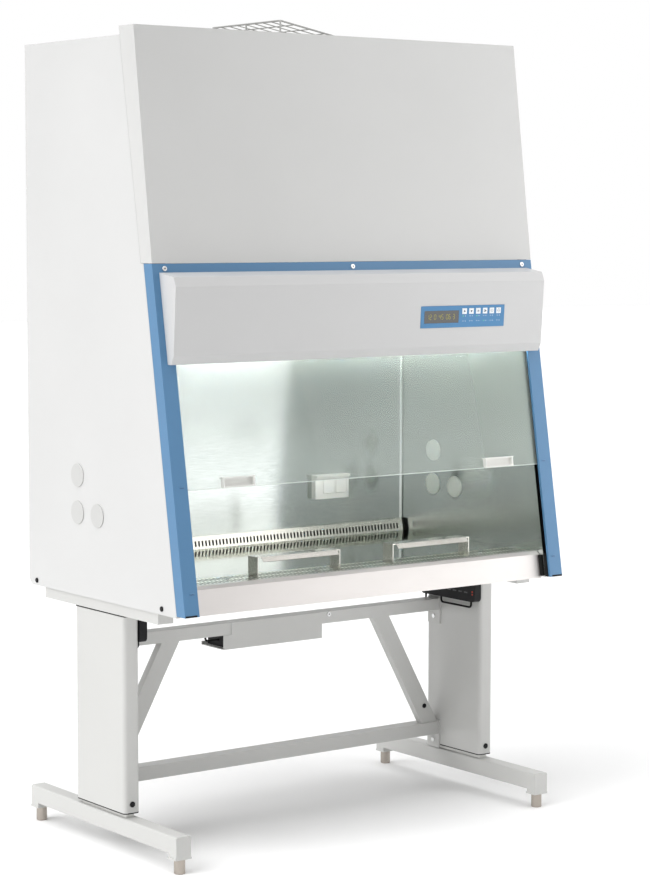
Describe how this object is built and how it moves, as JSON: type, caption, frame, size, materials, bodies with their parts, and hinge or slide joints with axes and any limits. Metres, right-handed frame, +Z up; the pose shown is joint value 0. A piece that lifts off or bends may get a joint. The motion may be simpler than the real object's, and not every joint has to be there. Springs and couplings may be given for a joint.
{
  "type": "biosafety cabinet",
  "caption": "Class II laminar flow safety cabinet with a counterbalanced leaning sash, stainless work chamber and a height-adjustable stand.",
  "frame": {"origin": "on the floor at the middle of the footprint, stand at its lowest", "axes": "+X to the operator's right, +Y from the operator to the back, +Z up"},
  "size_m": [1.306, 0.806, 2.255],
  "materials": {
    "stand_paint": "satin light grey powder coat",
    "foot_steel": "machined steel",
    "column_inner": "anodised",
    "black_rubber": "matt",
    "black_plastic": "fine grained",
    "cabinet_white": "satin powder coat",
    "cover_grey": "satin powder coat",
    "frame_blue": "satin",
    "fascia_grey": "satin moulded",
    "panel_blue": "satin film",
    "display_black": "gloss",
    "key_white": "satin",
    "lamp_white": "opal tube",
    "clear_glass": "laminated safety glass",
    "white_plastic": "moulded",
    "aluminium_guide": "extruded",
    "belt_black": "toothed belt",
    "weight_steel": "bare",
    "stainless": "brushed",
    "stainless_bright": "fine brushed",
    "zinc_steel": "zinc plated",
    "filter_media": "pleated glass paper in a metal frame",
    "fan_alloy": "pressed",
    "guard_wire": "plated wire",
    "screw_steel": "bright"
  },
  "bodies": {
    "stand_base": {"foot_beams": "stand_paint", "inner_columns": "column_inner"},
    "foot_front_left": {"levelling_foot_front_left": "foot_steel"},
    "foot_front_right": {"levelling_foot_front_right": "foot_steel"},
    "foot_rear_left": {"levelling_foot_rear_left": "foot_steel"},
    "foot_rear_right": {"levelling_foot_rear_right": "foot_steel"},
    "cabinet": {"outer_columns": "stand_paint", "column_seals": "black_rubber", "top_beams": "stand_paint", "plastic_plugs": "black_plastic", "cross_beams": "stand_paint", "braces": "stand_paint", "control_tray": "stand_paint", "lift_control_box": "black_plastic", "motor_housings": "black_plastic", "motor_cables": "black_rubber", "side_panels": "cabinet_white", "base_panel": "cabinet_white", "rear_panel": "cabinet_white", "top_cap": "cabinet_white", "front_cover": "cover_grey", "front_frame": "frame_blue", "fascia": "fascia_grey", "lamp_tubes": "lamp_white", "control_panel": "panel_blue", "display_window": "display_black", "sash_guides": "aluminium_guide", "sash_belts": "belt_black", "side_liners": "stainless", "rear_liner": "stainless", "rear_slot_panel": "stainless", "drain_pan": "stainless", "front_grille": "stainless", "sill": "stainless_bright", "port_plugs": "white_plastic", "outlet_box": "white_plastic", "diffuser": "stainless", "filters": "filter_media", "plenum_box": "zinc_steel", "blower_housings": "zinc_steel", "exhaust_guard": "guard_wire", "black_bolts": "black_plastic", "steel_screws": "screw_steel"},
    "sash": {"sash_glass": "clear_glass", "sash_fittings": "white_plastic"},
    "weights": {"counterweights": "weight_steel"},
    "belt_wheels": {"pulleys": "white_plastic"},
    "supply_fan": {"supply_impeller": "fan_alloy"},
    "exhaust_fan": {"exhaust_impeller": "fan_alloy"},
    "work_tray": {"work_surface": "stainless"},
    "armrest_l": {"armrest_left": "stainless_bright"},
    "armrest_r": {"armrest_right": "stainless_bright"},
    "flap_l": {"outlet_flap_left": "white_plastic"},
    "flap_r": {"outlet_flap_right": "white_plastic"},
    "key_1_cap": {"key_1": "key_white"},
    "key_2_cap": {"key_2": "key_white"},
    "key_3_cap": {"key_3": "key_white"},
    "key_4_cap": {"key_4": "key_white"},
    "key_5_cap": {"key_5": "key_white"},
    "key_6_cap": {"key_6": "key_white"}
  },
  "joints": [
    {"name": "lift", "type": "slide", "parent": "stand_base", "child": "cabinet", "axis": [0, 0, 1], "range_m": [0, 0.2]},
    {"name": "foot_front_left_turn", "type": "hinge", "parent": "stand_base", "child": "foot_front_left", "pos_m": [-0.623, -0.331, 0], "axis": [0, 0, 1], "continuous": true},
    {"name": "foot_front_right_turn", "type": "hinge", "parent": "stand_base", "child": "foot_front_right", "pos_m": [0.623, -0.331, 0], "axis": [0, 0, 1], "continuous": true},
    {"name": "foot_rear_left_turn", "type": "hinge", "parent": "stand_base", "child": "foot_rear_left", "pos_m": [-0.623, 0.387, 0], "axis": [0, 0, 1], "continuous": true},
    {"name": "foot_rear_right_turn", "type": "hinge", "parent": "stand_base", "child": "foot_rear_right", "pos_m": [0.623, 0.387, 0], "axis": [0, 0, 1], "continuous": true},
    {"name": "sash_slide", "type": "slide", "parent": "cabinet", "child": "sash", "axis": [0, 0.1642, 0.9864], "range_m": [-0.2575, 0.284]},
    {"name": "weight_slide", "type": "slide", "parent": "cabinet", "child": "weights", "axis": [0, 0.1642, 0.9864], "range_m": [-0.284, 0.2575]},
    {"name": "belt_wheel_turn", "type": "hinge", "parent": "cabinet", "child": "belt_wheels", "pos_m": [0, -0.10599, 2.09482], "axis": [1, 0, 0], "range_deg": [-770, 700]},
    {"name": "supply_fan_spin", "type": "hinge", "parent": "cabinet", "child": "supply_fan", "pos_m": [-0.26, 0.067, 1.7985], "axis": [1, 0, 0], "continuous": true},
    {"name": "exhaust_fan_spin", "type": "hinge", "parent": "cabinet", "child": "exhaust_fan", "pos_m": [0, 0.097, 2], "axis": [0, 0, 1], "continuous": true},
    {"name": "work_tray_lift", "type": "slide", "parent": "cabinet", "child": "work_tray", "axis": [0, 0, 1], "range_m": [0, 0.1]},
    {"name": "armrest_l_lift", "type": "slide", "parent": "cabinet", "child": "armrest_l", "axis": [0, 0, 1], "range_m": [0, 0.1]},
    {"name": "armrest_r_lift", "type": "slide", "parent": "cabinet", "child": "armrest_r", "axis": [0, 0, 1], "range_m": [0, 0.1]},
    {"name": "flap_l_hinge", "type": "hinge", "parent": "cabinet", "child": "flap_l", "pos_m": [0.3055, 0.2606, 0.932], "axis": [-1, 0, 0], "range_deg": [0, 90], "stiffness_Nm_per_rad": 0.002, "springref_deg": -11.46},
    {"name": "flap_r_hinge", "type": "hinge", "parent": "cabinet", "child": "flap_r", "pos_m": [0.3515, 0.2606, 0.932], "axis": [-1, 0, 0], "range_deg": [0, 90], "stiffness_Nm_per_rad": 0.002, "springref_deg": -11.46},
    {"name": "key_1_press", "type": "slide", "parent": "cabinet", "child": "key_1_cap", "axis": [0, 0.9978, 0.0665], "range_m": [0, 0.001], "stiffness_N_per_m": 500, "springref_m": -0.0005},
    {"name": "key_2_press", "type": "slide", "parent": "cabinet", "child": "key_2_cap", "axis": [0, 0.9978, 0.0665], "range_m": [0, 0.001], "stiffness_N_per_m": 500, "springref_m": -0.0005},
    {"name": "key_3_press", "type": "slide", "parent": "cabinet", "child": "key_3_cap", "axis": [0, 0.9978, 0.0665], "range_m": [0, 0.001], "stiffness_N_per_m": 500, "springref_m": -0.0005},
    {"name": "key_4_press", "type": "slide", "parent": "cabinet", "child": "key_4_cap", "axis": [0, 0.9978, 0.0665], "range_m": [0, 0.001], "stiffness_N_per_m": 500, "springref_m": -0.0005},
    {"name": "key_5_press", "type": "slide", "parent": "cabinet", "child": "key_5_cap", "axis": [0, 0.9978, 0.0665], "range_m": [0, 0.001], "stiffness_N_per_m": 500, "springref_m": -0.0005},
    {"name": "key_6_press", "type": "slide", "parent": "cabinet", "child": "key_6_cap", "axis": [0, 0.9978, 0.0665], "range_m": [0, 0.001], "stiffness_N_per_m": 500, "springref_m": -0.0005}
  ],
  "couplings": [
    {"joint": "weight_slide", "follows": "sash_slide", "ratio": -1},
    {"joint": "belt_wheel_turn", "follows": "sash_slide", "rad_per_m": -46.948}
  ]
}
